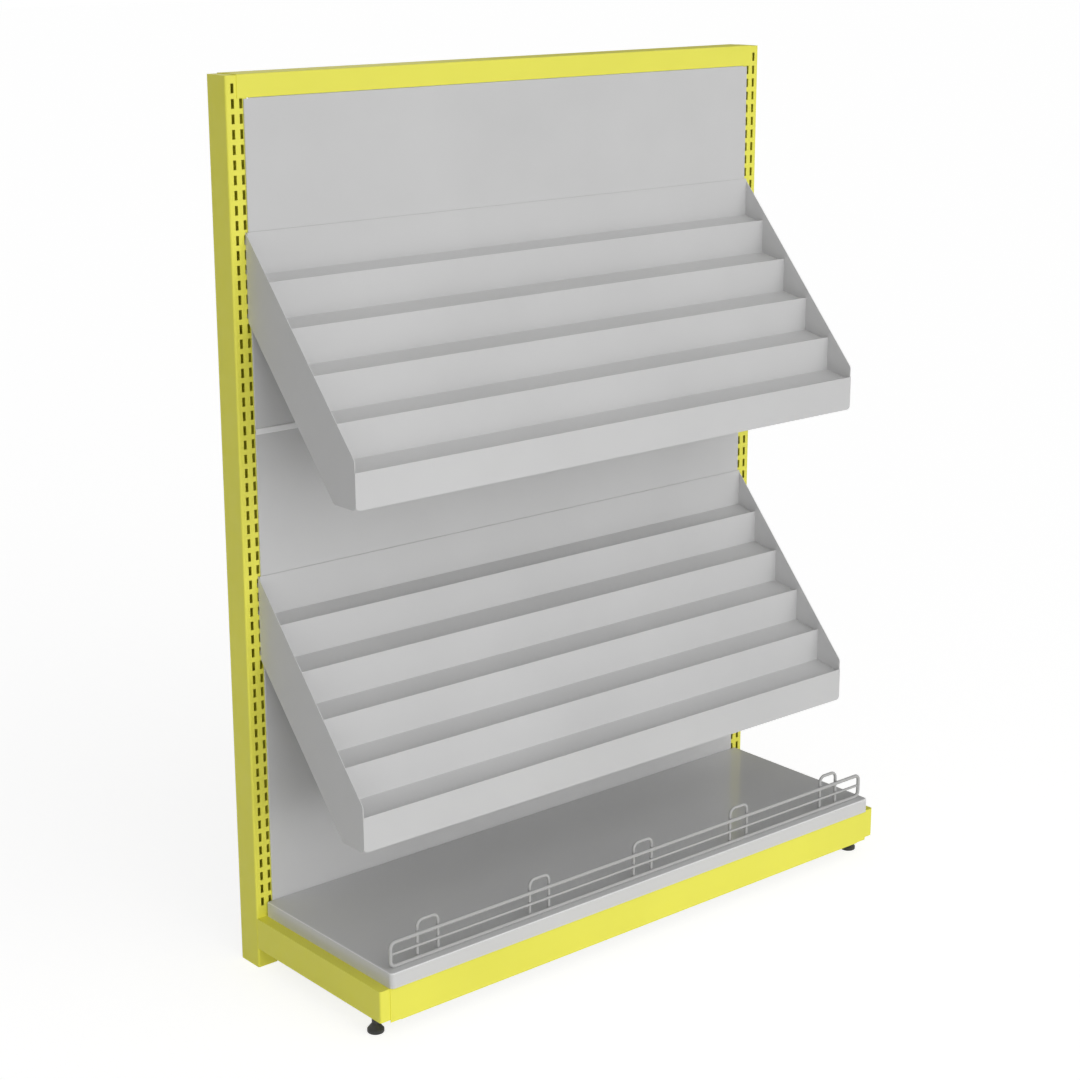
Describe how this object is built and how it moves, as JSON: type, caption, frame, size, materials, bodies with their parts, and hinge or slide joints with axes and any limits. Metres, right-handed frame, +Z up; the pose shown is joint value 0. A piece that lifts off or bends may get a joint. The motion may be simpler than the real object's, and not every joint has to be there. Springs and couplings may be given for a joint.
{
  "type": "book display rack",
  "caption": "Slotted steel display bay with hook-on stepped book racks, back panels, a base deck with a low wire fence, a kick plate and levelling feet.",
  "frame": {"origin": "middle of the footprint on the floor", "axes": "+X to the right along the bay, +Y to the back, +Z up"},
  "size_m": [1.242, 0.4398, 1.6],
  "materials": {
    "yellow_paint": "satin powder coat",
    "grey_paint": "satin powder coat",
    "deck_paint": "semi-gloss powder coat",
    "fence_wire": "satin powder coat over wire",
    "zinc_steel": "zinc plated",
    "black_plastic": "moulded, matt"
  },
  "bodies": {
    "frame": {"left_upright": "yellow_paint", "right_upright": "yellow_paint", "left_upright_cap": "yellow_paint", "right_upright_cap": "yellow_paint", "left_upright_plug": "black_plastic", "right_upright_plug": "black_plastic", "left_base_leg": "yellow_paint", "right_base_leg": "yellow_paint", "top_rail": "yellow_paint", "top_rail_rivets": "zinc_steel", "lower_cross_bar": "yellow_paint", "cross_bar_bolts": "zinc_steel", "upper_back_panel": "grey_paint", "lower_back_panel": "grey_paint", "upper_panel_stiffener": "grey_paint", "lower_panel_stiffener": "grey_paint", "panel_joint_strip": "grey_paint", "kick_plate": "yellow_paint", "left_foot_nut": "zinc_steel", "right_foot_nut": "zinc_steel"},
    "upper_rack": {"upper_left_cheek": "grey_paint", "upper_right_cheek": "grey_paint", "upper_rack_back": "grey_paint", "upper_tier_1": "grey_paint", "upper_tier_2": "grey_paint", "upper_tier_3": "grey_paint", "upper_tier_4": "grey_paint", "upper_front_rail": "grey_paint"},
    "lower_rack": {"lower_left_cheek": "grey_paint", "lower_right_cheek": "grey_paint", "lower_rack_back": "grey_paint", "lower_tier_1": "grey_paint", "lower_tier_2": "grey_paint", "lower_tier_3": "grey_paint", "lower_tier_4": "grey_paint", "lower_front_rail": "grey_paint"},
    "base_deck": {"base_deck": "deck_paint", "front_deck_stiffener": "deck_paint", "rear_deck_stiffener": "deck_paint"},
    "wire_fence": {"fence_frame": "fence_wire", "fence_mid_rail": "fence_wire", "fence_loop_1": "fence_wire", "fence_loop_2": "fence_wire", "fence_loop_3": "fence_wire", "fence_loop_4": "fence_wire", "fence_loop_5": "fence_wire", "fence_pegs": "fence_wire"},
    "left_foot": {"left_foot_pad": "black_plastic", "left_foot_stud": "zinc_steel"},
    "right_foot": {"right_foot_pad": "black_plastic", "right_foot_stud": "zinc_steel"}
  },
  "joints": [
    {"name": "upper_rack_lift", "type": "slide", "parent": "frame", "child": "upper_rack", "axis": [0, 0, 1], "range_m": [0, 0.0075]},
    {"name": "lower_rack_lift", "type": "slide", "parent": "frame", "child": "lower_rack", "axis": [0, 0, 1], "range_m": [0, 0.0075]},
    {"name": "base_deck_lift", "type": "slide", "parent": "frame", "child": "base_deck", "axis": [0, 0, 1], "range_m": [0, 0.04]},
    {"name": "wire_fence_lift", "type": "slide", "parent": "base_deck", "child": "wire_fence", "axis": [0, 0, 1], "range_m": [0, 0.03]},
    {"name": "left_foot_level", "type": "slide", "parent": "frame", "child": "left_foot", "axis": [0, 0, -1], "range_m": [0, 0.02]},
    {"name": "right_foot_level", "type": "slide", "parent": "frame", "child": "right_foot", "axis": [0, 0, -1], "range_m": [0, 0.02]}
  ]
}
